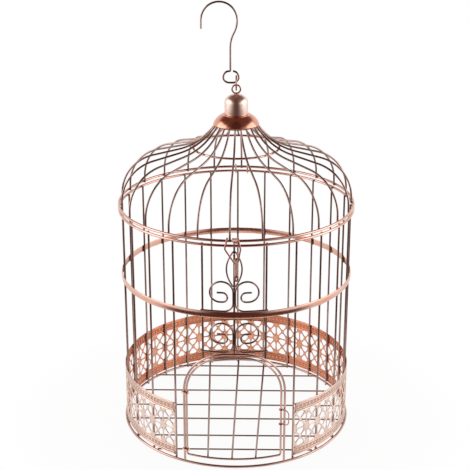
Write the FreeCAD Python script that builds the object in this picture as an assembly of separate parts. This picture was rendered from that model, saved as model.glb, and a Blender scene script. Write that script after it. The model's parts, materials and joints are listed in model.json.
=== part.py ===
import FreeCAD, Part
import math
import os

V = FreeCAD.Vector

# A birdcage card box of bent and welded wire. Sizes are in mm, +Z is up, +Y is the back.

# Hoops and bars
hoop_radius = 119.0
hoop_wire = 2.6
bar_wire = 2.0
bar_count = 24
weld_gap = 0.05
foot_flat = 0.25
lid_ring_height = 240.8
ring_spacing = 4.8
strip_height = 6.4
strip_thickness = 1.2
strip_drop = 75.5
bar_past_ring = 0.9
short_bars_each_side = 1

# Floor
floor_wire = 1.6
floor_shares = [-0.751, -0.520, -0.2235, 0.030, 0.3126, 0.619, 0.818]

# Lace band
lace_low = 5.2
lace_high = 63.0
lace_thickness = 0.8
lace_border = 9.4
lace_strand = 2.2
lace_joint = 0.1
lace_bays = 20
lace_cells = 2
lace_first_bar = 2
lace_cut = 2.0

# Doorway and door
frame_wire = 2.2
frame_half_width = 51.0
frame_arch = 45.6
frame_drop = 40.7
door_wire = 2.0
door_gap = 1.7
door_hinge_gap = 0.6
door_low = 9.6
door_corner = 2.0
door_bar_wire = 1.8
door_bar_past = 1.0
door_bar_tops = [-0.500, 0.0975, 0.623]
door_bar_feet = [-0.572, -0.051, 0.458]
short_bar_drop = 1.6
short_side_bar_drop = 8.6
door_hinge_lift = 4.9
door_hinge_drop = 1.0
door_hinge_wire = 1.2
door_hinge_clearance = 0.3
catch_wire = 1.1
catch_drop = 18.5
catch_length = 16.0
catch_reach = 6.4
catch_corner = 4.0
catch_clearance = 0.3
catch_rest = 48.0

# Scrolls and leaf on the front
scroll_wire = 1.8
scroll_low_drop = 42.75
scroll_past_bar = 1.2
scroll_corner = 8.8
scroll_rise = 10.2
scroll_bow = 11.15
scroll_under = 9.5
scroll_flat = 2.5
scroll_curl = 4.75
scroll_tail = 5.2
leaf_wire = 1.6
leaf_drop = 10.8
leaf_length = 35.0
leaf_half_width = 7.3
leaf_tip_width = 2.0
leaf_tip_length = 1.5
leaf_tip_angle = 57.0
peg_radius = 1.0
peg_drop = 13.6
peg_length = 4.35

# Lid
lid_twist = -2.0
dome_wall = 5.2
shoulder_radius = 42.5
dome_slope = 14.0
ogee_radius = 60.4
ogee_inner = 21.0
ogee_foot = 58.0
crown_radius = 43.2
crown_wire = 2.2
hub_thickness = 2.0
collar_thickness = 0.8
collar_skirt = 22.2
collar_bulge = 1.3
collar_slope = 45.0
collar_clearance = 0.1
collar_top_radius = 13.6
collar_ease = 0.4
cap_radius = 11.7
cap_wall_height = 12.0
cap_dome = 8.4
bolt_radius = 1.5
bolt_clearance = 0.1
nut_across = 5.5
nut_height = 2.4
bolt_past_nut = 1.0
spacer_wall = 1.6

# Hinges of the lid, hasp, ring and hook
loop_wire = 1.6
loop_clearance = 0.3
loop_offset = 6.5
hasp_wire = 1.6
hasp_angle = -0.7
hasp_rest = 6.0
hasp_half_width = 7.4
hasp_curl_half = 5.1
hasp_curl_past = 0.6
hasp_bend_drop = 7.3
hasp_neck_drop = 21.8
hasp_end_drop = 37.8
hasp_shoulder = 4.0
hasp_tail_gap = 0.25
hasp_tail_shift = 3.6
eye_wire = 1.6
eye_radius = 4.2
eye_sink = 0.15
link_wire = 1.6
link_radius = 7.0
link_lift = 6.2
hook_wire = 2.0
hook_eye_radius = 5.7
hook_eye_half = 1.9
hook_eye_shift = -5.2
hook_eye_lift = 12.1
hook_shank = -5.8
hook_neck = 42.0
hook_bow_radius = 17.5
hook_bow_middle = -16.7
hook_bow_lift = 67.8
hook_tip_drop = 8.5

# Sizes that follow from the ones above
hoop_r = hoop_wire / 2
bar_r = bar_wire / 2
bar_radius = hoop_radius - hoop_r - bar_r - weld_gap
front_radius = bar_radius + bar_r + weld_gap
top_ring_height = lid_ring_height - ring_spacing
base_height = hoop_r - foot_flat
base_top = base_height + hoop_r
bar_step = 360.0 / bar_count
strip_middle = lid_ring_height - strip_drop
frame_radius = front_radius + frame_wire / 2
frame_top = strip_middle - frame_drop
frame_spring = frame_top - frame_arch
post_step = (frame_wire + door_wire) / 2
door_left = frame_half_width - post_step - door_hinge_gap
door_right = frame_half_width - post_step - door_gap
door_top = frame_top - post_step - door_gap
door_arch = door_top - frame_spring
catch_high = frame_spring - catch_drop
catch_low = catch_high - catch_length
leaf_high = lid_ring_height - leaf_drop
leaf_low = leaf_high - leaf_length


def spin(shape, degrees):
    """Turn a shape about the upright axis."""
    out = shape.copy()
    out.rotate(V(0, 0, 0), V(0, 0, 1), degrees)
    return out


def torus(height, radius, wire_r):
    """A closed hoop of round wire lying level."""
    return Part.makeTorus(radius, wire_r, V(0, 0, height), V(0, 0, 1))


def rod(a, b, wire_r):
    """A straight length of round wire."""
    return Part.makeCylinder(wire_r, (b - a).Length, a, b - a)


def bend(start, along, end):
    """One arc that leaves start along a direction and reaches end, or a line if it is straight."""
    chord = end - start
    unit = V(chord).normalize()
    side = along - unit * along.dot(unit)
    if side.Length < 1e-6:
        return Part.LineSegment(start, end).toShape()
    angle = math.atan2(side.Length, along.dot(unit))
    middle = (start + end) * 0.5 + V(side).normalize() * (chord.Length / 2 * math.tan(angle / 2))
    return Part.Arc(start, middle, end).toShape()


def two_arcs(p0, t0, p1, t1):
    """Two arcs that join two points and keep both directions."""
    v = p1 - p0
    t = t0 + t1
    a = 2 * (1 - t0.dot(t1))
    b = v.dot(t)
    if a < 1e-9:
        d = v.dot(v) / (4 * v.dot(t1))
    else:
        d = (-b + math.sqrt(b * b + a * v.dot(v))) / a
    middle = (p0 + t0 * d + p1 - t1 * d) * 0.5
    if (V(v).normalize() - t0).Length < 1e-6:
        return [Part.LineSegment(p0, p1).toShape()]
    heading = (p1 - t1 * d - p0 - t0 * d).normalize()
    return [bend(p0, t0, middle), bend(middle, heading, p1)]


def pipe(edges, wire_r):
    """Round wire carried along a chain of edges."""
    path = Part.Wire(edges)
    first = edges[0]
    start = first.valueAt(first.FirstParameter)
    heading = first.tangentAt(first.FirstParameter)
    ring = Part.Wire(Part.Circle(start, heading, wire_r).toShape())
    return path.makePipeShell([ring], True, False)


def around(s, z, radius):
    """The point that lies s along the front of a cylinder at height z."""
    angle = s / radius
    return V(radius * math.sin(angle), -radius * math.cos(angle), z)


def heading_on(s, ds, dz, radius):
    """The direction on the cylinder for a step along it and up."""
    angle = s / radius
    return V(ds * math.cos(angle), ds * math.sin(angle), dz)


def walk(start, degrees, moves, radius):
    """Edges on a cylinder from a flat walk: a length straight on, or a turn of a radius and an angle."""
    s, z = start
    angle = math.radians(degrees)
    marks = [(s, z, angle)]
    for move in moves:
        if len(move) == 1:
            s += move[0] * math.cos(angle)
            z += move[0] * math.sin(angle)
            marks.append((s, z, angle))
            continue
        turn = math.radians(move[1])
        parts = max(1, math.ceil(abs(move[1]) / 45.0))
        side = math.copysign(1.0, turn)
        for _ in range(parts):
            after = angle + turn / parts
            s += side * move[0] * (math.sin(after) - math.sin(angle))
            z += side * move[0] * (math.cos(angle) - math.cos(after))
            angle = after
            marks.append((s, z, angle))
    edges = []
    for a, b in zip(marks[:-1], marks[1:]):
        t0 = heading_on(a[0], math.cos(a[2]), math.sin(a[2]), radius)
        t1 = heading_on(b[0], math.cos(b[2]), math.sin(b[2]), radius)
        edges += two_arcs(around(a[0], a[1], radius), t0, around(b[0], b[1], radius), t1)
    return edges


def rounded(points, radii, closed=False):
    """A chain of lines whose corners are arcs of the given radii."""
    count = len(points)
    corners = range(count) if closed else range(1, count - 1)
    cuts = {}
    for k in corners:
        before = (points[k - 1] - points[k]).normalize()
        after = (points[(k + 1) % count] - points[k]).normalize()
        half = math.acos(max(-1.0, min(1.0, before.dot(after)))) / 2
        trim = radii[k] / math.tan(half)
        into = points[k] + before * trim
        out = points[k] + after * trim
        inward = (before + after).normalize()
        middle = points[k] + inward * (radii[k] / math.sin(half) - radii[k])
        cuts[k] = (into, middle, out)
    edges = []
    spans = range(count) if closed else range(count - 1)
    for k in spans:
        n = (k + 1) % count
        a = cuts[k][2] if k in cuts else points[k]
        b = cuts[n][0] if n in cuts else points[n]
        if (b - a).Length > 1e-4:
            edges.append(Part.LineSegment(a, b).toShape())
        if n in cuts:
            edges.append(Part.Arc(*cuts[n]).toShape())
    return edges


def turned(points):
    """A solid of revolution about the upright axis from a closed outline of radius and height."""
    outline = [V(r, 0, z) for r, z in points]
    outline.append(outline[0])
    face = Part.Face(Part.makePolygon(outline))
    return face.revolve(V(0, 0, 0), V(0, 0, 1), 360)


def make_base_ring():
    """The bottom hoop, flattened underneath so that it stands on a flat ring."""
    half = math.sqrt(hoop_r ** 2 - base_height ** 2)
    inner = V(hoop_radius - half, 0, 0)
    outer = V(hoop_radius + half, 0, 0)
    over = Part.Arc(outer, V(hoop_radius, 0, base_top), inner).toShape()
    flat = Part.LineSegment(inner, outer).toShape()
    return Part.Face(Part.Wire([over, flat])).revolve(V(0, 0, 0), V(0, 0, 1), 360)


def make_bars():
    """Every upright bar that runs from the base ring to the top ring."""
    out = []
    for k in range(bar_count):
        if min(k, bar_count - k) <= short_bars_each_side:
            continue
        a = V(0, -bar_radius, weld_gap)
        b = V(0, -bar_radius, top_ring_height + bar_past_ring)
        out.append(spin(rod(a, b, bar_r), bar_step * k))
    return Part.makeCompound(out)


def make_short_bar(k):
    """A bar that stops at the arch over the door."""
    drop = short_bar_drop if k == 0 else short_side_bar_drop
    a = V(0, -bar_radius, frame_top - drop)
    b = V(0, -bar_radius, top_ring_height + bar_past_ring)
    return spin(rod(a, b, bar_r), bar_step * k)


def make_strip():
    """The flat hoop round the middle."""
    low = strip_middle - strip_height / 2
    inner = front_radius
    outer = Part.makeCylinder(inner + strip_thickness, strip_height, V(0, 0, low))
    return outer.cut(Part.makeCylinder(inner, strip_height, V(0, 0, low)))


def make_floor_wire(share):
    """One floor wire, laid across the base ring."""
    row = share * hoop_radius
    reach = math.sqrt(hoop_radius ** 2 - row ** 2)
    z = base_top + floor_wire / 2 + weld_gap
    return rod(V(-reach, row, z), V(reach, row, z), floor_wire / 2)


def make_lace_bay():
    """One bay of the pierced band, outside the bars and between two of them, at the front."""
    inner = front_radius
    outer = inner + lace_thickness
    span = bar_step - math.degrees(lace_joint / outer)
    height = lace_high - lace_low
    bay = Part.makeCylinder(outer, height, V(0, 0, lace_low), V(0, 0, 1), span)
    bay = bay.cut(Part.makeCylinder(inner, height, V(0, 0, lace_low)))
    bay = spin(bay, -90 - span / 2)
    low = lace_low + lace_border
    high = lace_high - lace_border
    middle = (low + high) / 2
    cell = math.radians(bar_step) * outer / lace_cells
    tools = []
    for c in range(lace_cells):
        left = (c - lace_cells / 2) * cell
        for z0, z1 in ((low, middle), (middle, high)):
            box = [(left, z0), (left + cell, z0), (left + cell, z1), (left, z1)]
            centre = (left + cell / 2, (z0 + z1) / 2)
            for k in range(4):
                tools.append(petal(box[k], box[(k + 1) % 4], centre, outer))
    return bay.cut(Part.makeCompound(tools))


def petal(a, b, c, radius):
    """A three-sided cutter drawn in from its corners by half a strand."""
    pts = [a, b, c]
    mid = (sum(p[0] for p in pts) / 3, sum(p[1] for p in pts) / 3)
    sides = [math.dist(pts[(k + 1) % 3], pts[(k + 2) % 3]) for k in range(3)]
    area = abs((b[0] - a[0]) * (c[1] - a[1]) - (c[0] - a[0]) * (b[1] - a[1])) / 2
    shrink = 1 - (lace_strand / 2) * sum(sides) / (2 * area)
    total = sum(sides)
    centre = [sum(sides[k] * pts[k][j] for k in range(3)) / total for j in range(2)]
    small = [[centre[j] + (p[j] - centre[j]) * shrink for j in range(2)] for p in pts]
    angle = math.degrees(mid[0] / radius)
    flat = [V(s - mid[0], -radius - lace_cut, z) for s, z in small]
    face = Part.Face(Part.makePolygon(flat + [flat[0]]))
    return spin(face.extrude(V(0, 2 * lace_cut, 0)), angle)


def make_lace():
    """The pierced band, bay by bay, round the back from one side of the door to the other."""
    bay = make_lace_bay()
    first = lace_first_bar + 0.5
    return Part.makeCompound([spin(bay, bar_step * (first + k)) for k in range(lace_bays)])


def make_door_frame():
    """The fixed arch that stands on the base ring."""
    low = base_top + weld_gap
    post = (frame_spring - low,)
    turn = (frame_arch, -90.0)
    moves = [post, turn, (2 * (frame_half_width - frame_arch),), turn, post]
    return pipe(walk((-frame_half_width, low), 90, moves, frame_radius), frame_wire / 2)


def make_door_rim():
    """The arch of the door with its bottom wire, closed in one loop."""
    width = door_left + door_right
    post = (frame_spring - door_low - door_corner,)
    turn = (door_arch, -90.0)
    corner = (door_corner, -90.0)
    moves = [post, turn, (width - 2 * door_arch,), turn, post]
    moves += [corner, (width - 2 * door_corner,), corner]
    edges = walk((-door_left, door_low + door_corner), 90, moves, frame_radius)
    return pipe(edges, door_wire / 2)


def make_door_bar(top_share, foot_share):
    """A slightly leaning wire behind the door's rim."""
    top = top_share * door_right
    foot = foot_share * door_right
    run = max(0.0, top - (door_right - door_arch), door_arch - door_left - top)
    high = frame_spring + math.sqrt(door_arch ** 2 - run ** 2)
    back = frame_radius - door_wire / 2 - door_bar_wire / 2 - weld_gap
    scale = back / frame_radius
    low = around(foot * scale, door_low - door_bar_past, back)
    return rod(low, around(top * scale, high + door_bar_past, back), door_bar_wire / 2)


def make_door_hinge(height):
    """Two turns of wire round the frame post and the door post."""
    r = frame_wire / 2 + door_hinge_clearance + door_hinge_wire / 2
    out = []
    for k in (-1, 1):
        z = height + k * (door_hinge_wire + weld_gap) / 2
        a = around(-frame_half_width, z, frame_radius)
        b = around(-door_left, z, frame_radius)
        along = (b - a).normalize() * r
        side = V(-along.y, along.x, 0)
        corners = [a - along - side, b + along - side, b + along + side, a - along + side]
        out.append(pipe(rounded(corners, [r] * 4, True), door_hinge_wire / 2))
    return Part.makeCompound(out)


def make_catch():
    """The bent wire that turns on the far post of the door, with an eye at each end."""
    post = around(door_right, 0, frame_radius)
    eye_r = door_wire / 2 + catch_clearance + catch_wire / 2
    out = [Part.makeTorus(eye_r, catch_wire / 2, V(post.x, post.y, z)) for z in (catch_low, catch_high)]
    angle = door_right / frame_radius - math.radians(catch_rest)
    along = V(math.cos(angle), math.sin(angle), 0)
    rise = V(0, 0, 1)
    foot = post + along * eye_r
    tip = post + along * (eye_r + catch_reach)
    chain = [foot + rise * catch_low, tip + rise * catch_low]
    chain += [tip + rise * catch_high, foot + rise * catch_high]
    grip = pipe(rounded(chain, [0, catch_corner, catch_corner, 0]), catch_wire / 2)
    return grip.fuse(out)


scroll_radius = front_radius + scroll_wire / 2
scroll_foot = strip_middle + strip_height / 2 + scroll_wire / 2 + weld_gap
scroll_stem = scroll_wire / 2 + weld_gap


def make_scroll(drop):
    """A scroll: a foot from the side bar, a stem by the middle bar and a curl."""
    reach = math.radians(bar_step) * scroll_radius + scroll_past_bar
    moves = [(reach - scroll_stem - scroll_corner,), (scroll_corner, 90.0), (scroll_rise,)]
    moves += [(scroll_bow, 180.0), (scroll_under, 90.0), (scroll_flat,)]
    moves += [(scroll_curl, 180.0), (scroll_tail,)]
    return pipe(walk((-reach, scroll_foot - drop), 0, moves, scroll_radius), scroll_wire / 2)


def mirrored(shape):
    """The same shape on the other side of the middle."""
    return shape.mirror(V(0, 0, 0), V(1, 0, 0))


def make_leaf():
    """A pointed leaf of one closed wire."""
    radius = front_radius + leaf_wire / 2
    middle = (leaf_low + leaf_high) / 2
    ds = math.cos(math.radians(leaf_tip_angle))
    dz = math.sin(math.radians(leaf_tip_angle))
    foot = leaf_low + leaf_tip_length
    head = leaf_high - leaf_tip_length
    marks = [(0, leaf_low, 1, 0), (leaf_tip_width, foot, ds, dz), (leaf_half_width, middle, 0, 1)]
    marks += [(leaf_tip_width, head, -ds, dz), (0, leaf_high, -1, 0), (-leaf_tip_width, head, -ds, -dz)]
    marks += [(-leaf_half_width, middle, 0, -1), (-leaf_tip_width, foot, ds, -dz), (0, leaf_low, 1, 0)]
    edges = []
    for a, b in zip(marks[:-1], marks[1:]):
        t0 = heading_on(a[0], a[2], a[3], radius)
        t1 = heading_on(b[0], b[2], b[3], radius)
        edges += two_arcs(around(a[0], a[1], radius), t0, around(b[0], b[1], radius), t1)
    return pipe(edges, leaf_wire / 2)


def make_peg():
    """The peg that the hasp drops over."""
    start = V(0, -front_radius, lid_ring_height - peg_drop)
    return rod(start, start - V(0, peg_length, 0), peg_radius)


# The line of a lid bar: up the wall, round the shoulder, along the slope and up to the top.
slope = math.radians(dome_slope)
shoulder_r = bar_radius - shoulder_radius
slope_start_r = shoulder_r + shoulder_radius * math.sin(slope)
slope_start = (slope_start_r, dome_wall + shoulder_radius * math.cos(slope))
slope_end = (ogee_foot, slope_start[1] + (slope_start[0] - ogee_foot) * math.tan(slope))


def ogee(r):
    """Height above the lid ring and steepness of a lid bar at a radius inside the slope."""
    steep = math.asin(math.sin(slope) + (ogee_foot - r) / ogee_radius)
    return slope_end[1] + ogee_radius * (math.cos(slope) - math.cos(steep)), steep


def make_lid_bars():
    """Every bar of the lid."""
    def at(r, z):
        return V(0, -r, lid_ring_height + z)
    half = (math.pi / 2 - slope) / 2
    mid = at(shoulder_r + shoulder_radius * math.cos(half), dome_wall + shoulder_radius * math.sin(half))
    top_z, _ = ogee(ogee_inner)
    mid_r = (ogee_foot + ogee_inner) / 2
    edges = [Part.LineSegment(at(bar_radius, -bar_past_ring), at(bar_radius, dome_wall)).toShape()]
    edges.append(Part.Arc(at(bar_radius, dome_wall), mid, at(*slope_start)).toShape())
    edges.append(Part.LineSegment(at(*slope_start), at(*slope_end)).toShape())
    edges.append(Part.Arc(at(*slope_end), at(mid_r, ogee(mid_r)[0]), at(ogee_inner, top_z)).toShape())
    bar = pipe(edges, bar_r)
    return Part.makeCompound([spin(bar, bar_step * k) for k in range(bar_count)])


def make_crown_ring():
    """The small hoop under the lid bars, at the radius where it just meets them."""
    step = bar_r + crown_wire / 2 + weld_gap
    r = crown_radius
    for _ in range(8):
        r = crown_radius + step * math.sin(ogee(r)[1])
    z = ogee(r)[0] - step * math.cos(ogee(r)[1])
    return torus(lid_ring_height + z, crown_radius, crown_wire / 2)


hub_radius = ogee_inner - bar_r - weld_gap
hub_top = lid_ring_height + ogee(ogee_inner)[0]
end_z, end_steep = ogee(ogee_inner)
bar_corner = (ogee_inner + bar_r * math.sin(end_steep), end_z + bar_r * math.cos(end_steep))
cone_rate = math.tan(math.radians(collar_slope))
cone_foot = lid_ring_height + bar_corner[1] + collar_clearance - (collar_skirt - bar_corner[0]) * cone_rate
collar_top = cone_foot + cone_rate * (collar_skirt - collar_top_radius) + collar_thickness


def make_hub():
    """The disc inside the top of the lid that the bars end on."""
    hole = bolt_radius + bolt_clearance
    low = hub_top - hub_thickness
    return turned([(hole, low), (hub_radius, low), (hub_radius, hub_top), (hole, hub_top)])


def make_collar():
    """The cone with a full outer face that covers the ends of the lid bars."""
    hole = bolt_radius + bolt_clearance
    under = collar_top - collar_thickness
    skirt = V(collar_skirt + collar_thickness, 0, cone_foot)
    brow = V(collar_top_radius + collar_ease, 0, collar_top)
    outward = V(brow.z - skirt.z, 0, skirt.x - brow.x).normalize()
    edges = [Part.Arc(skirt, (skirt + brow) * 0.5 + outward * collar_bulge, brow).toShape()]
    corners = [brow, V(hole, 0, collar_top), V(hole, 0, under), V(collar_top_radius, 0, under)]
    corners += [V(collar_skirt, 0, cone_foot), skirt]
    edges += [Part.LineSegment(a, b).toShape() for a, b in zip(corners[:-1], corners[1:])]
    return Part.Face(Part.Wire(edges)).revolve(V(0, 0, 0), V(0, 0, 1), 360)


cap_low = collar_top + weld_gap
cap_top = cap_low + cap_wall_height + cap_dome
eye_height = cap_top + eye_radius + eye_wire / 2 - eye_sink
bolt_low = hub_top - hub_thickness - nut_height - bolt_past_nut


def make_cap():
    """The domed cap on top of the collar."""
    hole = bolt_radius + bolt_clearance
    wall = V(cap_radius, 0, cap_low + cap_wall_height)
    peak = V(hole, 0, cap_top)
    edges = two_arcs(wall, V(0, 0, 1), peak, V(-1, 0, 0))
    corners = [peak, V(hole, 0, cap_low), V(cap_radius, 0, cap_low), wall]
    edges += [Part.LineSegment(a, b).toShape() for a, b in zip(corners[:-1], corners[1:])]
    return Part.Face(Part.Wire(edges)).revolve(V(0, 0, 0), V(0, 0, 1), 360)


def make_eye_bolt():
    """The eye on the cap with its long stem."""
    stem = rod(V(0, 0, bolt_low), V(0, 0, eye_height - eye_radius), bolt_radius)
    eye = Part.makeTorus(eye_radius, eye_wire / 2, V(0, 0, eye_height), V(0, 1, 0))
    return stem.fuse(eye)


def make_nut():
    """The nut under the disc."""
    r = nut_across / math.sqrt(3)
    z = hub_top - hub_thickness - weld_gap - nut_height
    turns = [math.radians(60 * k) for k in range(7)]
    corners = [V(r * math.cos(a), r * math.sin(a), z) for a in turns]
    prism = Part.Face(Part.makePolygon(corners)).extrude(V(0, 0, nut_height))
    return prism.cut(Part.makeCylinder(bolt_radius + bolt_clearance / 2, nut_height, V(0, 0, z)))


def make_spacer():
    """The tube round the bolt between the disc and the collar."""
    hole = bolt_radius + bolt_clearance
    low = hub_top + weld_gap
    high = collar_top - collar_thickness - weld_gap
    wall = hole + spacer_wall
    return turned([(hole, low), (wall, low), (wall, high), (hole, high)])


loop_r = hoop_r + loop_clearance + loop_wire / 2
loop_sag = loop_offset ** 2 / (2 * hoop_radius)


def make_lid_loop(side):
    """A wire loop round the top ring and the lid ring at the back."""
    x = side * loop_offset
    y = hoop_radius - loop_sag
    low = top_ring_height - loop_r
    high = lid_ring_height + loop_r
    corners = [V(x, y - loop_r, low), V(x, y + loop_r, low), V(x, y + loop_r, high), V(x, y - loop_r, high)]
    return spin(pipe(rounded(corners, [loop_r] * 4, True), loop_wire / 2), lid_twist)


hasp_r = hoop_r + loop_clearance + hasp_wire / 2
hasp_axis_y = -hoop_radius + hasp_curl_half ** 2 / (2 * hoop_radius)


def make_hasp():
    """The hasp: two curls over the lid ring and a pair of legs that meet in a tail."""
    back = hasp_axis_y + hasp_r
    face = hasp_axis_y - hasp_r
    top = lid_ring_height + hasp_r
    tail = hasp_wire / 2 + hasp_tail_gap
    sides = []
    for k in (-1, 1):
        x = k * hasp_curl_half
        curl = [V(x, back, lid_ring_height - hasp_curl_past), V(x, back, top), V(x, face, top)]
        curl.append(V(k * hasp_half_width, face, lid_ring_height - hasp_bend_drop))
        x = hasp_tail_shift + k * tail
        legs = [V(x, face, lid_ring_height - hasp_neck_drop), V(x, face, lid_ring_height - hasp_end_drop)]
        sides.append(curl + legs)
    radii = [0, hasp_r, hasp_r, hasp_shoulder, hasp_shoulder, tail]
    shape = pipe(rounded(sides[0] + sides[1][::-1], radii + radii[::-1]), hasp_wire / 2)
    shape.rotate(V(0, hasp_axis_y, lid_ring_height), V(-1, 0, 0), hasp_rest)
    return spin(shape, hasp_angle)


link_height = eye_height + link_lift


def make_link():
    """The ring that joins the eye and the hook."""
    return Part.makeTorus(link_radius, link_wire / 2, V(0, 0, link_height), V(1, 0, 0))


def make_hook():
    """The hanging hook: an open eye, a shank and a bow."""
    def at(x, z):
        return V(x, 0, eye_height + z)
    r = hook_eye_radius
    c = hook_eye_lift
    left = hook_eye_shift - hook_eye_half
    right = hook_eye_shift + hook_eye_half
    low = c - r
    high = c + r
    lead = hook_shank - left
    slant = 1 / math.sqrt(2)
    edges = [Part.Arc(at(right, high), at(right + r, c), at(right, low)).toShape()]
    edges.append(Part.LineSegment(at(right, low), at(left, low)).toShape())
    edges.append(Part.Arc(at(left, low), at(left - r, c), at(left, high)).toShape())
    corner = at(left + lead * slant, high + lead - lead * slant)
    edges.append(Part.Arc(at(left, high), corner, at(hook_shank, high + lead)).toShape())
    bow_right = hook_bow_middle + hook_bow_radius
    bow_left = hook_bow_middle - hook_bow_radius
    edges.append(Part.LineSegment(at(hook_shank, high + lead), at(hook_shank, hook_neck)).toShape())
    edges += two_arcs(at(hook_shank, hook_neck), V(0, 0, 1), at(bow_right, hook_bow_lift), V(0, 0, 1))
    crest = at(hook_bow_middle, hook_bow_lift + hook_bow_radius)
    edges.append(Part.Arc(at(bow_right, hook_bow_lift), crest, at(bow_left, hook_bow_lift)).toShape())
    tip = at(bow_left, hook_bow_lift - hook_tip_drop)
    edges.append(Part.LineSegment(at(bow_left, hook_bow_lift), tip).toShape())
    return pipe(edges, hook_wire / 2)


os.makedirs("parts", exist_ok=True)
nodes = {}
nodes["base_ring"] = make_base_ring()
for number, share in enumerate(floor_shares, 1):
    nodes["floor_wire_%d" % number] = make_floor_wire(share)
nodes["body_bars"] = make_bars()
for name, k in (("left", -1), ("middle", 0), ("right", 1)):
    nodes["front_bar_" + name] = make_short_bar(k)
nodes["mid_hoop"] = make_strip()
nodes["top_ring"] = torus(top_ring_height, hoop_radius, hoop_r)
nodes["lace_band"] = make_lace()
nodes["door_frame"] = make_door_frame()
scroll = make_scroll(0.0)
lower_scroll = make_scroll(scroll_low_drop)
nodes["scroll_upper_left"] = scroll
nodes["scroll_upper_right"] = mirrored(scroll)
nodes["scroll_lower_left"] = lower_scroll
nodes["scroll_lower_right"] = mirrored(lower_scroll)
nodes["leaf"] = make_leaf()
nodes["latch_peg"] = make_peg()
nodes["lid_hinge_left"] = make_lid_loop(-1)
nodes["lid_hinge_right"] = make_lid_loop(1)
nodes["door_rim"] = make_door_rim()
for number, ends in enumerate(zip(door_bar_tops, door_bar_feet), 1):
    nodes["door_bar_%d" % number] = make_door_bar(*ends)
nodes["door_hinge_low"] = make_door_hinge(door_low + door_hinge_lift)
nodes["door_hinge_high"] = make_door_hinge(frame_spring - door_hinge_drop)
nodes["door_catch"] = make_catch()
nodes["lid_ring"] = torus(lid_ring_height, hoop_radius, hoop_r)
nodes["lid_bars"] = spin(make_lid_bars(), lid_twist)
nodes["crown_ring"] = make_crown_ring()
nodes["crown_hub"] = make_hub()
nodes["hub_spacer"] = make_spacer()
nodes["collar"] = make_collar()
nodes["finial_cap"] = make_cap()
nodes["eye_bolt"] = make_eye_bolt()
nodes["bolt_nut"] = make_nut()
nodes["hasp"] = make_hasp()
nodes["link_ring"] = make_link()
nodes["hanging_hook"] = make_hook()
for name, shape in nodes.items():
    shape.exportStep("parts/%s.step" % name)
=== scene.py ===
import bmesh
import bpy
import json
import math
import numpy as np
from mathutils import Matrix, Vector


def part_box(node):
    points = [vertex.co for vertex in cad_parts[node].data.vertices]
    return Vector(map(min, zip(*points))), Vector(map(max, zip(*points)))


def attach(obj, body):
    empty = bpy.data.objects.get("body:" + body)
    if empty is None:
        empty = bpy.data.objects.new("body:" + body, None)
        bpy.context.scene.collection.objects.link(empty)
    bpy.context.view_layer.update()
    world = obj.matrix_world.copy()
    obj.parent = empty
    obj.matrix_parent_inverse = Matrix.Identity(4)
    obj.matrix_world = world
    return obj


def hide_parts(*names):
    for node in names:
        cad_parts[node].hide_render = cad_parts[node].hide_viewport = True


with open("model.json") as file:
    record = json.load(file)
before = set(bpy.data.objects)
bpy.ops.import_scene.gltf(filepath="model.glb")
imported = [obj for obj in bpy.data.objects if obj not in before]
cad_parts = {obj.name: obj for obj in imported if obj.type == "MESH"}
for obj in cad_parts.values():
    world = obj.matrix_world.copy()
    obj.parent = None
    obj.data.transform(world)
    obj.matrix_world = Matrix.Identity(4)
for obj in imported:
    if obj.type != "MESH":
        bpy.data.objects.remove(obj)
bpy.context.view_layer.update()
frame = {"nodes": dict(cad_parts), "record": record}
MM = 0.001
MERGE = 1e-6
TURN = 2 * math.pi
QUARTER = math.pi / 2

# The photograph's frame and viewing point
IMAGE_WIDTH = 470
FOCAL_PIXELS = 1134.0
SENSOR_MM = 36.0
CAMERA_DISTANCE = 1.0978
CAMERA_HEIGHT = 0.6068
CAMERA_PITCH = 20.2
CAMERA_AZIMUTH = 0.9
AXIS_SHIFT_PIXELS = 1.3

# Sizes read from the frame, and the bars' own
hoop_low, hoop_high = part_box("lid_ring")
HOOP_WIRE_R = (hoop_high[2] - hoop_low[2]) / 2
HOOP_R = hoop_high[0] - HOOP_WIRE_R
LID_RING_Z = (hoop_low[2] + hoop_high[2]) / 2
TOP_RING_Z = sum(v[2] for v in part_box("top_ring")) / 2
BASE_RING_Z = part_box("base_ring")[1][2] - HOOP_WIRE_R
STRIP_LOW, STRIP_HIGH = (v[2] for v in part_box("mid_hoop"))
BAR_R = 1.0 * MM
BAR_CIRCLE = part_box("body_bars")[1][0] - BAR_R
LACE_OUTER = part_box("lace_band")[1][0]
LACE_LOW, LACE_HIGH = (v[2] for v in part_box("lace_band"))
BAR_COUNT = 24
BAR_STEP = TURN / BAR_COUNT
LID_TWIST = math.radians(-2.0)

SMOOTH = {"interpolation_type": "SMOOTHSTEP"}


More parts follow.
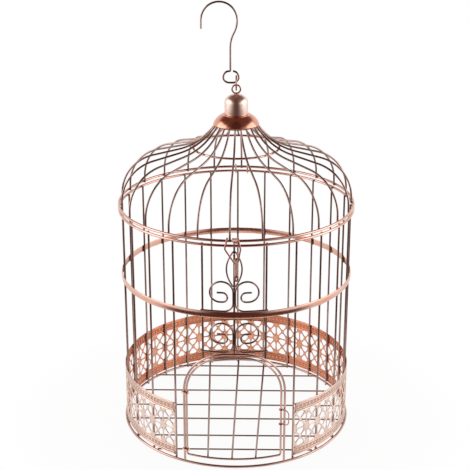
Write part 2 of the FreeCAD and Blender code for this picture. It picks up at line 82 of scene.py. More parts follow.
class Sock:
    """A shader socket with arithmetic: each operator adds one Math node."""

    def __init__(self, tree, socket):
        self.tree = tree
        self.socket = socket

    def node(self, kind, settings=None, out=0, **inputs):
        """Add a node: type, settings, and values or links of its sockets by name or number."""
        made = self.tree.nodes.new(kind)
        for key, value in (settings or {}).items():
            setattr(made, key, value)
        for key, value in inputs.items():
            numbered = key[0] == "i" and key[1:].isdigit()
            slot = made.inputs[int(key[1:]) if numbered else key.replace("_", " ")]
            if isinstance(value, Sock):
                self.tree.links.new(value.socket, slot)
            else:
                slot.default_value = value
        return Sock(self.tree, made.outputs[out])

    def math(self, operation, a, b):
        return self.node("ShaderNodeMath", {"operation": operation}, i0=a, i1=b)

    def mix(self, share, first, second):
        """A colour between two colours or colour sockets."""
        kind = {"data_type": "RGBA"}
        return self.node("ShaderNodeMix", kind, out=2, i0=share, i6=first, i7=second)

    def __add__(self, other):
        return self.math("ADD", self, other)

    def __radd__(self, other):
        return self.math("ADD", other, self)

    def __sub__(self, other):
        return self.math("SUBTRACT", self, other)

    def __rsub__(self, other):
        return self.math("SUBTRACT", other, self)

    def __mul__(self, other):
        return self.math("MULTIPLY", self, other)

    def __rmul__(self, other):
        return self.math("MULTIPLY", other, self)

    def __pow__(self, other):
        return self.math("POWER", self, other)


def new_material(name):
    """A node material with a Principled shader, and Object coordinates to start expressions from."""
    material = bpy.data.materials.new(name)
    material.use_nodes = True
    tree = material.node_tree
    shader = tree.nodes["Principled BSDF"]
    coords = tree.nodes.new("ShaderNodeTexCoord")
    return material, tree, shader, Sock(tree, coords.outputs["Object"])


def light_rays(tree):
    """The sockets that tell the eye's rays, reflected rays and rays that went through something."""
    rays = tree.nodes.new("ShaderNodeLightPath").outputs
    return [Sock(tree, rays[f"Is {kind} Ray"]) for kind in ("Camera", "Glossy", "Transmission")]


# Plated surface: noise scales per metre, the ranges that are used, and how much each one does
CLOUD_SCALE, CLOUD_LOW, CLOUD_HIGH = 42.0, 0.3, 0.72
SPECK_SCALE, SPECK_LOW, SPECK_HIGH = 1500.0, 0.58, 0.8
STAIN_COLOUR, STAIN_ROUGH = 0.4, 0.22
MARK_ROUGH, MARK_HEIGHT, SPECK_HEIGHT = 0.09, 0.7, 0.3
BUMP_DISTANCE = 0.2 * MM
CLOUD_SHARE, RECESS_SHADE_SHARE = 0.35, 1.1
TARNISH = (0.22, 0.08, 0.055, 1)


def rose_gold(name, bright, deep, rough, drawn, mark_depth, inner=None):
    """Rose gold plate: cloudy copper tone, dull specks of tarnish, and fine marks as it was drawn.

    Where inner is given, a sheet's own attributes tell the side that faces the axis, which has
    those two tones, and the recesses, where the deeper tone is painted shade.
    """
    material, tree, shader, place = new_material(name)
    cloud = place.node(
        "ShaderNodeTexNoise", Vector=place, Scale=CLOUD_SCALE, Detail=3.0, Roughness=0.6
    )
    speck = place.node(
        "ShaderNodeTexNoise", Vector=place, Scale=SPECK_SCALE, Detail=3.0, Roughness=0.6
    )
    stretched = place.node("ShaderNodeMapping", Vector=place, Scale=drawn)
    marks = place.node(
        "ShaderNodeTexNoise", Vector=stretched, Scale=1.0, Detail=2.0, Roughness=0.5
    )
    tone = place.node("ShaderNodeMapRange", Value=cloud, From_Min=CLOUD_LOW, From_Max=CLOUD_HIGH)
    stain = place.node("ShaderNodeMapRange", Value=speck, From_Min=SPECK_LOW, From_Max=SPECK_HIGH)
    if inner:
        side = place.node("ShaderNodeAttribute", {"attribute_name": "inner_side"}, out=2)
        recess_shade = place.node("ShaderNodeAttribute", {"attribute_name": "recess_shade"}, out=2)
        # Random cloud tone, plus painted shade in the recesses, both towards the deeper tone
        tone = tone * CLOUD_SHARE + recess_shade * RECESS_SHADE_SHARE
    plate = place.mix(tone, (*bright, 1), (*deep, 1))
    if inner:
        plate = place.mix(side, plate, place.mix(tone, (*inner[0], 1), (*inner[1], 1)))
    worn = place.mix(stain * STAIN_COLOUR, plate, TARNISH)
    tree.links.new(worn.socket, shader.inputs["Base Color"])
    dull = marks * MARK_ROUGH + stain * STAIN_ROUGH + (rough - MARK_ROUGH / 2)
    tree.links.new(dull.socket, shader.inputs["Roughness"])
    shader.inputs["Metallic"].default_value = 1.0
    height = marks * MARK_HEIGHT + speck * SPECK_HEIGHT
    bump = place.node("ShaderNodeBump", Height=height, Strength=mark_depth, Distance=BUMP_DISTANCE)
    tree.links.new(bump.socket, shader.inputs["Normal"])
    return material


# Marks per metre along each axis, by the way a piece was drawn or turned
ALONG_BAR = (2600.0, 2600.0, 90.0)
EVEN = (1500.0, 1500.0, 1500.0)
AROUND_HOOP = (160.0, 160.0, 3000.0)

# Tones of the plate, each with its deeper tone. All are one rose gold plate, set lighter or darker
# part by part as painted light and painted shade; only the solder's tone is its own
SHADED_WIRE, SHADED_WIRE_DEEP = (0.48, 0.34, 0.30), (0.28, 0.185, 0.16)
BRIGHT, BRIGHT_DEEP = (0.84, 0.53, 0.44), (0.64, 0.35, 0.27)
BROWN, BROWN_DEEP = (0.68, 0.45, 0.38), (0.46, 0.28, 0.23)
WARM, WARM_DEEP = (0.94, 0.60, 0.50), (0.82, 0.43, 0.31)
CHALK, CHALK_DEEP = (0.97, 0.80, 0.72), (0.92, 0.68, 0.58)
PALE, PALE_DEEP = (0.95, 0.70, 0.61), (0.86, 0.50, 0.38)
CREAM, CREAM_DEEP = (0.945, 0.765, 0.675), (0.58, 0.38, 0.30)
RED, RED_DEEP = (0.92, 0.46, 0.30), (0.60, 0.21, 0.11)
SATIN, SATIN_DEEP = (0.90, 0.69, 0.60), (0.80, 0.56, 0.47)
BRICK, BRICK_DEEP = (0.82, 0.38, 0.28), (0.62, 0.23, 0.16)
COPPER, COPPER_DEEP = (0.60, 0.31, 0.25), (0.42, 0.18, 0.14)
SMOKE, SMOKE_DEEP = (0.52, 0.38, 0.33), (0.32, 0.21, 0.18)
SCORCH, SCORCH_DEEP = (0.50, 0.22, 0.15), (0.36, 0.14, 0.09)

# Each finish: material, two tones, roughness, marks and their depth, and an inner side's two tones
FINISHES = {
    # The bars' tone is the plate darkened: painted shade
    "wire": ("rose_gold_wire", SHADED_WIRE, SHADED_WIRE_DEEP, 0.15, ALONG_BAR, 0.03),
    "hoop": ("rose_gold_hoop", BRIGHT, BRIGHT_DEEP, 0.14, AROUND_HOOP, 0.08),
    "post": ("rose_gold_post", BROWN, BROWN_DEEP, 0.15, EVEN, 0.08),
    "strip": ("rose_gold_strip", WARM, WARM_DEEP, 0.19, AROUND_HOOP, 0.03),
    "brushed": ("rose_gold_brushed", CHALK, CHALK_DEEP, 0.75, EVEN, 0.15),
    "trim_wire": ("rose_gold_trim", SHADED_WIRE, SHADED_WIRE_DEEP, 0.16, EVEN, 0.03),
    "bent_copper": ("rose_gold_bent", PALE, PALE_DEEP, 0.20, EVEN, 0.10),
    "lace": ("rose_gold_lace", CREAM, CREAM_DEEP, 0.24, EVEN, 0.22, (RED, RED_DEEP)),
    "satin": ("rose_gold_satin", SATIN, SATIN_DEEP, 0.33, AROUND_HOOP, 0.10),
    "turned": ("rose_gold_turned", BRICK, BRICK_DEEP, 0.20, AROUND_HOOP, 0.10),
    # A darker tone for the eye, link, catch and hasp: painted shade
    "shaded_copper": ("rose_gold_shaded", COPPER, COPPER_DEEP, 0.20, EVEN, 0.10),
    "hanger": ("rose_gold_hanger", SMOKE, SMOKE_DEEP, 0.16, EVEN, 0.03),
    "solder": ("dull_solder", SCORCH, SCORCH_DEEP, 0.34, EVEN, 0.35),
}
finishes = {key: rose_gold(*row) for key, row in FINISHES.items()}


def add_piece(name, points, quads, finish, body):
    """A mesh from arrays of points and quads: merged at seams, faces outwards, shaded smooth."""
    points = np.ascontiguousarray(points.reshape(-1, 3), dtype=np.float32)
    mesh = bpy.data.meshes.new(name)
    mesh.vertices.add(len(points))
    mesh.vertices.foreach_set("co", points.ravel())
    mesh.loops.add(quads.size)
    mesh.loops.foreach_set("vertex_index", quads.astype(np.int32).ravel())
    mesh.polygons.add(len(quads))
    mesh.polygons.foreach_set("loop_start", np.arange(0, quads.size, 4, dtype=np.int32))
    mesh.update(calc_edges=True)
    work = bmesh.new()
    work.from_mesh(mesh)
    bmesh.ops.remove_doubles(work, verts=work.verts, dist=MERGE)
    bmesh.ops.recalc_face_normals(work, faces=work.faces)
    work.to_mesh(mesh)
    work.free()
    mesh.polygons.foreach_set("use_smooth", np.ones(len(mesh.polygons), dtype=bool))
    piece = bpy.data.objects.new(name, mesh)
    bpy.context.scene.collection.objects.link(piece)
    mesh.materials.append(finish)
    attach(piece, body)
    return piece


def grid_quads(rows, columns, wrap_rows=False, wrap_columns=False):
    """Quads of a grid of points in row order, closed round either way where asked."""
    r = np.arange(rows if wrap_rows else rows - 1)
    c = np.arange(columns if wrap_columns else columns - 1)
    a, b = np.meshgrid(r, c, indexing="ij")
    a2, b2 = (a + 1) % rows, (b + 1) % columns
    corners = [a * columns + b, a2 * columns + b, a2 * columns + b2, a * columns + b2]
    return np.stack(corners, -1).reshape(-1, 4)


def repeated(quads, count, points_each):
    """The quads of one shape, repeated for equal shapes whose points follow each other."""
    shift = (np.arange(count) * points_each)[:, None, None]
    return (quads[None] + shift).reshape(-1, 4)


def join(sheets):
    """Several sheets of points and quads as one."""
    start, points, quads = 0, [], []
    for p, q in sheets:
        p = p.reshape(-1, 3)
        points.append(p)
        quads.append(q + start)
        start += len(p)
    return np.concatenate(points), np.concatenate(quads)


def circle(count):
    """Evenly spaced angles once round, without the last one, which is the first again."""
    return np.linspace(0, TURN, count, endpoint=False)


def capped(path):
    """A path as a column with both ends doubled, and a scale that is 0 at the doubles and 1 between.

    A section that is multiplied by that scale shrinks to a point at each end, which closes it.
    """
    scale = np.concatenate([[0.0], np.ones(len(path)), [0.0]])[:, None]
    return np.concatenate([path[:1], path, path[-1:]])[:, None], scale


def outward(angle):
    """The level direction out from the axis, at an angle from the front."""
    return np.stack([np.sin(angle), -np.cos(angle), 0 * angle], -1)


def on_cylinder(s, z, radius):
    """The point at arc length s from the front and height z, on a cylinder of a radius."""
    angle = s / LACE_OUTER
    flat = radius * np.sin(angle), -radius * np.cos(angle)
    return np.stack(np.broadcast_arrays(*flat, z), -1)


def lathe(profile, sides):
    """A profile of radius and height turned once round the upright axis."""
    angle = circle(sides)[:, None]
    r, z = profile[:, 0][None, :], profile[:, 1][None, :]
    points = np.stack([r * np.cos(angle), r * np.sin(angle), z + 0 * angle], -1)
    return points, grid_quads(sides, len(profile), wrap_rows=True)


# Lace band: the lattice between two borders
LACE_T = 0.8 * MM
LACE_MIDDLE_R = LACE_OUTER - LACE_T / 2
BORDER = 9.4 * MM
LATTICE_LOW, LATTICE_HIGH = LACE_LOW + BORDER, LACE_HIGH - BORDER
OPEN_STEPS, LACE_STEPS = 2, 20
LACE_START = OPEN_STEPS * BAR_STEP * LACE_OUTER
LACE_RUN = LACE_STEPS * BAR_STEP * LACE_OUTER
LACE_END = LACE_START + LACE_RUN
CELLS = 40
PETAL = 0.86
PETAL_ROUND = 0.45
PETAL_ROUNDS = 3
SIDE_STEPS = 7
STRAND_ROWS = 3
STRAND_EDGE = 0.35
BORDER_T = 0.2 * MM
BORDER_STEPS = 241
BORDER_ROWS = 7
BORDER_BEADS = 130
RAIL_STEP = 1.9 * MM
RAIL_OUT = 0.4 * MM
RAIL_UP = 0.5 * MM
RAIL_SIDES = 6
END_RAIL_WIDE = 0.6 * MM
END_RAIL_STEPS = 9
STUD_R, STUD_FLAT = 1.7 * MM, 0.24
HUB_R, HUB_FLAT = 2.1 * MM, 0.2
BEAD_SIDES, BEAD_ROWS = 8, 5


def triangle_walk(corners, count):
    """Points round each triangle, evenly along its three sides, from corners of shape N, 3, 2."""
    t = np.arange(3 * count) / count
    k = t.astype(int)
    f = (t - k)[None, :, None]
    return corners[:, k] * (1 - f) + corners[:, (k + 1) % 3] * f


def pierced(outline, hole):
    """A sheet with holes: each cell runs from its hole to its outline on both faces.

    The thickness is a quarter circle of the share of the way across, over a thin edge at the hole.
    """
    t = np.linspace(0, 1, STRAND_ROWS)
    across = np.concatenate([t[::-1], t])
    face = np.repeat([1.0, -1.0], STRAND_ROWS)
    share = across[None, None, :, None]
    flat = hole[:, :, None] * (1 - share) + outline[:, :, None] * share
    swell = STRAND_EDGE + (1 - STRAND_EDGE) * np.sqrt(1 - (1 - across) ** 2)
    radius = LACE_MIDDLE_R + face * swell * LACE_T / 2
    points = on_cylinder(flat[..., 0], flat[..., 1], radius[None, None, :])
    cells, steps = outline.shape[:2]
    quads = grid_quads(steps, len(across), wrap_rows=True)
    return points, repeated(quads, cells, steps * len(across))[:, ::-1]


def lace_lattice():
    """Stars of eight strands: two rows of cells, each cut in four triangles with a petal hole.

    A hole is the triangle's outline drawn towards its inner circle, shrunk and smoothed.
    """
    middle = (LATTICE_LOW + LATTICE_HIGH) / 2
    step = LACE_RUN / CELLS
    left = LACE_START + step * np.arange(CELLS)
    tiles = []
    for z0, z1 in ((LATTICE_LOW, middle), (middle, LATTICE_HIGH)):
        box = [(left, z0), (left + step, z0), (left + step, z1), (left, z1)]
        box = [np.stack([s, z + 0 * s], -1) for s, z in box]
        centre = sum(box) / 4
        tiles += [np.stack([box[k], box[(k + 1) % 4], centre], 1) for k in range(4)]
    corners = np.concatenate(tiles)
    outline = triangle_walk(corners, SIDE_STEPS)
    sides = np.linalg.norm(np.roll(corners, -1, 1) - np.roll(corners, 1, 1), axis=2)
    heart = ((corners * sides[..., None]).sum(1) / sides.sum(1)[:, None])[:, None]
    reach = outline - heart
    far = np.linalg.norm(reach, axis=2, keepdims=True)
    inner_circle = reach / far * far.min(1, keepdims=True)
    hole = heart + (reach * (1 - PETAL_ROUND) + inner_circle * PETAL_ROUND) * PETAL
    for _ in range(PETAL_ROUNDS):
        hole = (np.roll(hole, 1, 1) + 2 * hole + np.roll(hole, -1, 1)) / 4
    return pierced(outline, hole)


def lattice_edge():
    """The wall round the lattice: its four sides at the strands' own steps, from face to face."""
    along = np.linspace(LACE_START, LACE_END, CELLS * SIDE_STEPS + 1)
    upward = np.linspace(LATTICE_LOW, LATTICE_HIGH, 2 * SIDE_STEPS + 1)
    level, rise = 0 * along[:-1], 0 * upward[:-1]
    s = np.concatenate([along[:-1], rise + along[-1], along[:0:-1], rise + along[0]])
    z = np.concatenate([level + LATTICE_LOW, upward[:-1], level + LATTICE_HIGH, upward[:0:-1]])
    radius = LACE_OUTER - np.array([LACE_T, 0.0])
    points = on_cylinder(s[:, None], z[:, None], radius[None, :])
    return points, grid_quads(len(s), 2, wrap_rows=True)


def lace_border(run, low, high):
    """A thin solid strip under a border's beads: a flat section carried along the band."""
    climb = np.linspace(0, 1, BORDER_ROWS)
    up = np.concatenate([climb, climb[::-1]])
    face = np.repeat([1.0, -1.0], BORDER_ROWS)
    s, grow = capped(run)
    z = (low + high) / 2 + grow * (up - 0.5) * (high - low)
    points = on_cylinder(s, z, LACE_MIDDLE_R + grow * face * BORDER_T / 2)
    return points, grid_quads(len(s), len(up), wrap_columns=True)


def level_rail(run, z):
    """A rail along the band at one height: an oval section carried along it."""
    around = circle(RAIL_SIDES)
    s, grow = capped(run)
    rise = z + grow * RAIL_UP * np.sin(around)
    points = on_cylinder(s, rise, LACE_MIDDLE_R + grow * RAIL_OUT * np.cos(around))
    return points, grid_quads(len(s), RAIL_SIDES, wrap_columns=True)


def end_rail(s):
    """An upright rail at one end of the band: an oval section carried up it."""
    around = circle(RAIL_SIDES)
    z, grow = capped(np.linspace(LACE_LOW, LACE_HIGH, END_RAIL_STEPS))
    wide = s + grow * END_RAIL_WIDE * np.cos(around)
    points = on_cylinder(wide, z, LACE_MIDDLE_R + grow * RAIL_OUT * np.sin(around))
    return points, grid_quads(len(z), RAIL_SIDES, wrap_columns=True)


def beads(places, normals, radius, stretch):
    """Small domes: a ball at each place, stretched to the side, up and along the normal."""
    u = circle(BEAD_SIDES)
    v = np.linspace(0, math.pi, BEAD_ROWS)
    level = np.outer(np.cos(u), np.sin(v)), np.outer(np.sin(u), np.sin(v))
    ball = np.stack([*level, np.outer(np.ones(BEAD_SIDES), np.cos(v))], -1)
    up = np.broadcast_to(np.array([0.0, 0.0, 1.0]), normals.shape)
    axes = np.stack([np.cross(up, normals), up, normals], 1)
    size = radius * np.array(stretch)
    points = places[:, None, None] + np.einsum("uvk,nkj->nuvj", ball * size, axes)
    quads = grid_quads(BEAD_SIDES, BEAD_ROWS, wrap_rows=True)
    return points, repeated(quads, len(places), BEAD_SIDES * BEAD_ROWS)


def studs(count, height, radius, flat):
    """A row of raised studs through the band at one height, evenly spaced along it."""
    angle = (LACE_START + LACE_RUN / count * np.arange(1, count)) / LACE_OUTER
    centre = outward(angle) * LACE_MIDDLE_R + np.array([0, 0, height])
    return beads(centre, outward(angle), radius, (1, 1, flat))


def make_lace():
    """The pierced band: lattice, two borders with rails and a row of studs, end rails, star hubs."""
    sheets = [lace_lattice(), lattice_edge()]
    run = np.linspace(LACE_START, LACE_END, BORDER_STEPS)
    for low, high in ((LACE_LOW, LATTICE_LOW), (LATTICE_HIGH, LACE_HIGH)):
        sheets.append(lace_border(run, low, high))
        sheets += [level_rail(run, z) for z in (low, low + RAIL_STEP, high - RAIL_STEP, high)]
        sheets.append(studs(BORDER_BEADS, (low + high) / 2, STUD_R, STUD_FLAT))
    sheets += [end_rail(s) for s in (LACE_START, LACE_END)]
    sheets.append(studs(CELLS, (LACE_LOW + LACE_HIGH) / 2, HUB_R, HUB_FLAT))
    points, quads = join(sheets)
    piece = add_piece("pierced_lace", points, quads, finishes["lace"], "cage")
    places = np.empty(3 * len(piece.data.vertices), np.float32)
    piece.data.vertices.foreach_get("co", places)
    depth = np.hypot(places[0::3], places[1::3]) - LACE_MIDDLE_R
    # Painted shade: strongest near the sheet's middle, at the holes' thin edges and on the thin
    # border between rails and beads
    recess_shade = np.clip(1 - np.abs(depth) / (LACE_T / 2), 0, 1)
    for key, values in (("inner_side", depth < 0), ("recess_shade", recess_shade)):
        side = piece.data.attributes.new(key, "FLOAT", "POINT")
        side.data.foreach_set("value", values.astype(np.float32))
    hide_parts("lace_band")


SOLDER_R = 1.5 * MM
SOLDER_STRETCH = (1.0, 0.8, 0.45)
SOLDER_LIFT = 0.6 * MM


def solder(name, body, rows):
    """Solder spots: a flat drop where a bar meets a hoop, from rows of bar angles and a height."""
    angle = np.concatenate([angles for angles, height in rows])
    rise = np.concatenate([np.full(len(angles), height) for angles, height in rows])
    out = outward(angle)
    places = out * (BAR_CIRCLE + BAR_R) + np.stack([0 * rise, 0 * rise, rise], -1)
    points, quads = beads(places, out, SOLDER_R, SOLDER_STRETCH)
    add_piece(name, points, quads, finishes["solder"], body)


def make_solder():
    """Solder spots of the cage, where the long bars skip the door, and of the lid."""
    every = BAR_STEP * np.arange(BAR_COUNT)
    long_bars = every[2:-1]
    rows = [(long_bars, BASE_RING_Z + SOLDER_LIFT), (every, TOP_RING_Z)]
    rows += [(long_bars, z) for z in (LACE_LOW + BORDER / 2, LACE_HIGH - BORDER / 2)]
    rows += [(every, z) for z in (STRIP_LOW, STRIP_HIGH)]
    solder("cage_solder", "cage", rows)
    solder("lid_solder", "lid", [(every + LID_TWIST, LID_RING_Z)])


STRIP_T = 1.2 * MM
STRIP_BULGE = 0.35 * MM
STRIP_EDGE = 0.3 * MM
STRIP_EDGE_STEPS = 4
STRIP_FACE = 0.8
STRIP_FACE_STEPS = 9
STRIP_SIDES = 144


def make_strip():
    """The rolled strip: a thin upright section turned round the axis.

    Its corners are quarter circles, and its outer face bulges as 1 less the height squared.
    """
    low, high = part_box("mid_hoop")
    middle, half = (low[2] + high[2]) / 2, (high[2] - low[2]) / 2
    outer = high[0] - STRIP_BULGE
    inner = high[0] - STRIP_T
    ease = np.linspace(0, QUARTER, STRIP_EDGE_STEPS)
    rows = []
    for k, (r, z) in enumerate(((outer, -half), (outer, half), (inner, half), (inner, -half))):
        turn = (k - 1) * QUARTER + ease
        inward = np.sign(np.array([inner + outer - 2 * r, -z])) * STRIP_EDGE
        corner = STRIP_EDGE * np.stack([np.cos(turn), np.sin(turn)], -1)
        rows.append(np.array([r, middle + z]) + inward + corner)
        if k == 0:
            rise = np.linspace(-STRIP_FACE, STRIP_FACE, STRIP_FACE_STEPS) * half
            rows.append(np.stack([outer + 0 * rise, middle + rise], -1))
    section = np.concatenate(rows + [rows[0][:1]])
    share = np.clip((section[:, 0] - inner) / (outer - inner), 0, 1)
    section[:, 0] += share * STRIP_BULGE * (1 - ((section[:, 1] - middle) / half) ** 2)
    points, quads = lathe(section, STRIP_SIDES)
    piece = add_piece("rolled_strip", points, quads, finishes["strip"], "cage")
    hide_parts("mid_hoop")


FOOT_STEPS = 21
FOOT_SIDES = 180


def make_foot_hoop():
    """The lowest hoop: a round wire, flattened at the ground, turned round the axis."""
    turn = np.linspace(0, TURN, FOOT_STEPS)
    rise = np.maximum(BASE_RING_Z + HOOP_WIRE_R * np.sin(turn), 0)
    section = np.stack([HOOP_R + HOOP_WIRE_R * np.cos(turn), rise], -1)
    points, quads = lathe(section, FOOT_SIDES)
    piece = add_piece("foot_hoop", points, quads, finishes["post"], "cage")
    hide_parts("base_ring")


CAP_DOME = 8.4 * MM
CAP_EDGE = 0.5 * MM
CAP_EDGE_STEPS = 6
CAP_DOME_STEPS = 18
CAP_SIDES = 64


def make_cap():
    """The cap: a profile with an eased foot, a straight wall and a quarter oval, turned round."""
    low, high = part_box("finial_cap")
    r, z0, z1 = high[0], low[2], high[2]
    ease = np.linspace(-QUARTER, 0, CAP_EDGE_STEPS)
    foot_r, foot_z = r - CAP_EDGE, z0 + CAP_EDGE
    foot = np.stack([foot_r + CAP_EDGE * np.cos(ease), foot_z + CAP_EDGE * np.sin(ease)], -1)
    turn = np.linspace(0, QUARTER, CAP_DOME_STEPS)
    dome = np.stack([r * np.cos(turn), z1 - CAP_DOME + CAP_DOME * np.sin(turn)], -1)
    points, quads = lathe(np.concatenate([[[0, z0]], foot, dome]), CAP_SIDES)
    piece = add_piece("turned_cap", points, quads, finishes["satin"], "lid")
    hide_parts("finial_cap")


LIP_R = 0.65 * MM
LIP_STEPS = 13
LIP_SIDES = 72


def make_collar_lip():
    """The rolled edge of the collar: a small circle turned round the axis."""
    low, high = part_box("collar")
    turn = np.linspace(0, TURN, LIP_STEPS)
    lip = np.stack([high[0] - LIP_R + LIP_R * np.cos(turn), low[2] + LIP_R * np.sin(turn)], -1)
    points, quads = lathe(lip, LIP_SIDES)
    add_piece("collar_lip", points, quads, finishes["turned"], "lid")


# Hasp: as it sits on the lid ring, then its plate and its winding
HASP_SPIN = math.radians(-0.7)
HASP_LEAN = math.radians(6.0)
HASP_TAIL_X = 3.6 * MM
HASP_CURL_HALF = 5.1 * MM
HASP_AXIS_Y = HASP_CURL_HALF ** 2 / (2 * HOOP_R) - HOOP_R
HASP_WIRE_R = 0.8 * MM
HASP_CLEARANCE = 0.3 * MM
HASP_NECK, HASP_FOOT = 17.0 * MM, 33.4 * MM
PLATE_HALF = 2.0 * MM
PLATE_T = 0.5 * MM
PLATE_OUT = 0.5 * MM
PLATE_STEPS = 15
PLATE_SIDES = 16
PLATE_STUD_R = 1.6 * MM
PLATE_STUD_STRETCH = (1, 1, 0.4)
WRAP_WIRE_R = 0.7 * MM
WRAP_R = HOOP_WIRE_R + HASP_CLEARANCE + WRAP_WIRE_R
WRAP_START = -0.2 * MM
WRAP_PITCH = 1.46 * MM
WRAP_TURNS = 3.25
WRAP_STEPS = 24
WRAP_SIDES = 8


def spun(x, y, z):
    """A point of the hasp drawn straight ahead, turned to where the hasp sits on the lid ring."""
    cos, sin = math.cos(HASP_SPIN), math.sin(HASP_SPIN)
    return np.stack(np.broadcast_arrays(x * cos - y * sin, x * sin + y * cos, z), -1)


def on_hasp(across, down, out):
    """A point of the hasp: across its tail, down it from the lid ring, and out of its face."""
    arm = HOOP_WIRE_R + HASP_CLEARANCE + HASP_WIRE_R + out
    y = HASP_AXIS_Y - arm * math.cos(HASP_LEAN) - down * math.sin(HASP_LEAN)
    z = LID_RING_Z + arm * math.sin(HASP_LEAN) - down * math.cos(HASP_LEAN)
    return spun(across + HASP_TAIL_X, y, z)


def make_hasp_plate():
    """The plate on the hasp's tail: an oval section carried down it, with a stud at each end."""
    down, grow = capped(np.linspace(HASP_NECK, HASP_FOOT, PLATE_STEPS))
    turn = circle(PLATE_SIDES)
    out = PLATE_OUT + grow * PLATE_T * np.sin(turn)
    points = on_hasp(grow * PLATE_HALF * np.cos(turn), down, out)
    quads = grid_quads(len(down), PLATE_SIDES, wrap_columns=True)
    add_piece("hasp_plate", points, quads, finishes["brushed"], "hasp")
    places = on_hasp(0.0, np.array([HASP_NECK, HASP_FOOT]), PLATE_OUT)
    ahead = np.broadcast_to(np.array([0.0, -1.0, 0.0]), places.shape)
    points, quads = beads(places, ahead, PLATE_STUD_R, PLATE_STUD_STRETCH)
    add_piece("hasp_studs", points, quads, finishes["solder"], "hasp")


def make_hasp_wrap():
    """The wire wound round the lid ring beside the hasp's right curl: a close coil."""
    t, grow = capped(np.linspace(0, WRAP_TURNS, round(WRAP_TURNS * WRAP_STEPS) + 1))
    around = circle(WRAP_SIDES)
    reach = WRAP_R + grow * WRAP_WIRE_R * np.cos(around)
    x = WRAP_START + WRAP_PITCH * t + grow * WRAP_WIRE_R * np.sin(around)
    y = HASP_AXIS_Y - reach * np.cos(TURN * t)
    z = LID_RING_Z + reach * np.sin(TURN * t)
    quads = grid_quads(len(t), WRAP_SIDES, wrap_columns=True)
    add_piece("hasp_wrap", spun(x, y, z), quads, finishes["bent_copper"], "hasp")


# Solids whose finish isn't the one of their slot, each for a lighter or darker tone: painted light
# and painted shade
OWN_FINISH = {
    "hoop": ("top_ring", "lid_ring", "crown_ring"),
    "post": ("door_frame", "door_rim"),
    "bent_copper": ("door_hinge_low", "door_hinge_high", "lid_hinge_left", "lid_hinge_right"),
    "shaded_copper": ("eye_bolt", "link_ring", "door_catch", "hasp"),
}


def dress_frame():
    """Give each carried-over solid its plated finish."""
    kinds = {row["node"]: row["material_slot"] for row in frame["record"]["subparts"]}
    kinds.update({node: finish for finish, group in OWN_FINISH.items() for node in group})
    for node, piece in frame["nodes"].items():
        piece.data.materials.clear()
        piece.data.materials.append(finishes[kinds[node]])


FLOOR_R = 0.28
FLOOR_RINGS, FLOOR_SIDES = 12, 64
FLOOR_FADE = 0.6
FLOOR_PAINT = (0.88, 0.87, 0.86, 1)
FLOOR_SHADOW = 0.06
FLOOR_GLOSSY = 0.85
WHITE = (1.0, 1.0, 1.0, 1)


def make_floor():
    """A round pale floor: white to the eye but for a soft shadow that fades outwards."""
    ring = np.linspace(0, FLOOR_R, FLOOR_RINGS)
    angle = circle(FLOOR_SIDES)
    flat = np.outer(np.cos(angle), ring), np.outer(np.sin(angle), ring)
    points = np.stack([*flat, 0 * flat[0]], -1)
    quads = grid_quads(FLOOR_SIDES, FLOOR_RINGS, wrap_rows=True)[:, ::-1]
    mesh = bpy.data.meshes.new("floor")
    mesh.from_pydata(points.reshape(-1, 3).tolist(), [], quads.tolist())
    floor = bpy.data.objects.new("floor", mesh)
    bpy.context.scene.collection.objects.link(floor)
    material, tree, shader, place = new_material("pale_floor")
    tree.nodes.remove(shader)
    camera, glossy, through = light_rays(tree)
    seen = camera + (glossy + through) * FLOOR_GLOSSY
    away = place.node("ShaderNodeVectorMath", {"operation": "LENGTH"}, out=1, i0=place)
    fade = FLOOR_FADE * FLOOR_R
    edge = place.node("ShaderNodeMapRange", SMOOTH, Value=away, From_Min=fade, From_Max=FLOOR_R)
    paint = place.node("ShaderNodeBsdfDiffuse", Color=FLOOR_PAINT)
    glow = place.node("ShaderNodeEmission", Color=WHITE, Strength=1.0)
    share = seen * (edge * FLOOR_SHADOW + (1 - FLOOR_SHADOW))
    mixed = place.node("ShaderNodeMixShader", i0=share, i1=paint, i2=glow)
    tree.links.new(mixed.socket, tree.nodes["Material Output"].inputs["Surface"])
    mesh.materials.append(material)


GROUND = (0.85, 0.83, 0.82, 1)
CEILING = (0.16, 0.09, 0.07, 1)
DIM_ROOM = (0.085, 0.036, 0.026, 1)
# Where each fades into the next: the sine of the height, and for the room the cosine off the front
GROUND_FADE = (-0.34, -0.22)
CEILING_FADE = (0.3, 0.65)
ROOM_FADE_BELOW, ROOM_FADE_ABOVE = (0.0, 0.5), (0.6, 0.95)
LEVEL_MIN = 0.0001


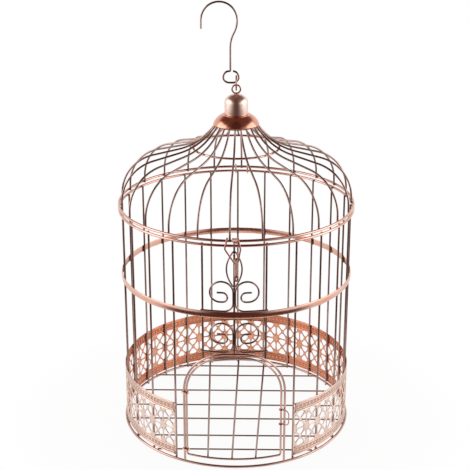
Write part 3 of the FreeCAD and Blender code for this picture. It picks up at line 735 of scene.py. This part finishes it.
def make_world():
    """White to the eye. For light and reflections: white walls to the sides and behind, dull ground
    far off, a dull ceiling, and in front a dim room, wide over the ground and narrow above it."""
    world = bpy.data.worlds.new("studio")
    bpy.context.scene.world = world
    world.use_nodes = True
    tree = world.node_tree
    way = Sock(tree, tree.nodes.new("ShaderNodeTexCoord").outputs["Generated"])
    split = tree.nodes.new("ShaderNodeSeparateXYZ")
    tree.links.new(way.socket, split.inputs[0])
    x, y, z = (Sock(tree, socket) for socket in split.outputs)

    def fade(value, start, end):
        return way.node("ShaderNodeMapRange", SMOOTH, Value=value, From_Min=start, From_Max=end)

    ahead = y * -1.0 * ((x * x + y * y + LEVEL_MIN) ** -0.5)
    low = fade(z, *GROUND_FADE)
    high = fade(z, *CEILING_FADE)
    pairs = zip(ROOM_FADE_BELOW, ROOM_FADE_ABOVE)
    room = fade(ahead, *(low * (above - below) + below for below, above in pairs))
    sky = way.mix(high, way.mix(low, GROUND, WHITE), CEILING)
    camera, glossy, through = light_rays(tree)
    seen = camera + (glossy + through) * (low * (1 - high) * (1 - room))
    shown = way.mix(seen, way.mix(room, sky, DIM_ROOM), WHITE)
    tree.links.new(shown.socket, tree.nodes["Background"].inputs["Color"])


LAMP_SIZE = 1.2
LAMP_AIM = (0.0, 0.0, 0.2)
# Each lamp: place, power, and whether reflections show it
LAMPS = {
    "left_lamp": ((-1.3, -0.15, 0.7), 8.0, True),
    "right_lamp": ((1.3, -0.05, 0.65), 7.5, True),
    "top_lamp": ((0.0, 0.5, 1.7), 11.0, False),
}


def make_lamps():
    """Soft lamps on both sides and above, each turned to the cage."""
    for name, (place, power, reflected) in LAMPS.items():
        light = bpy.data.lights.new(name, "AREA")
        light.size = LAMP_SIZE
        light.energy = power
        lamp = bpy.data.objects.new(name, light)
        lamp.location = place
        lamp.visible_glossy = reflected
        aim = np.array(LAMP_AIM) - np.array(place)
        tilt = math.atan2(math.hypot(aim[0], aim[1]), -aim[2])
        lamp.rotation_euler = (tilt, 0, math.atan2(-aim[0], aim[1]))
        bpy.context.scene.collection.objects.link(lamp)


def make_camera():
    """The camera at the photograph's viewing point."""
    data = bpy.data.cameras.new("camera")
    data.sensor_width = SENSOR_MM
    data.lens = FOCAL_PIXELS / IMAGE_WIDTH * SENSOR_MM
    camera = bpy.data.objects.new("camera", data)
    turn = math.radians(CAMERA_AZIMUTH)
    side, back = CAMERA_DISTANCE * math.sin(turn), CAMERA_DISTANCE * math.cos(turn)
    camera.location = (side, -back, CAMERA_HEIGHT)
    yaw = turn + math.atan(AXIS_SHIFT_PIXELS / FOCAL_PIXELS)
    camera.rotation_euler = (math.radians(90 - CAMERA_PITCH), 0, yaw)
    bpy.context.scene.collection.objects.link(camera)
    bpy.context.scene.camera = camera


dress_frame()
make_lace()
make_solder()
make_strip()
make_foot_hoop()
make_cap()
make_collar_lip()
make_hasp_plate()
make_hasp_wrap()
make_floor()
make_world()
make_lamps()
make_camera()
bpy.context.scene.view_settings.view_transform = "Standard"
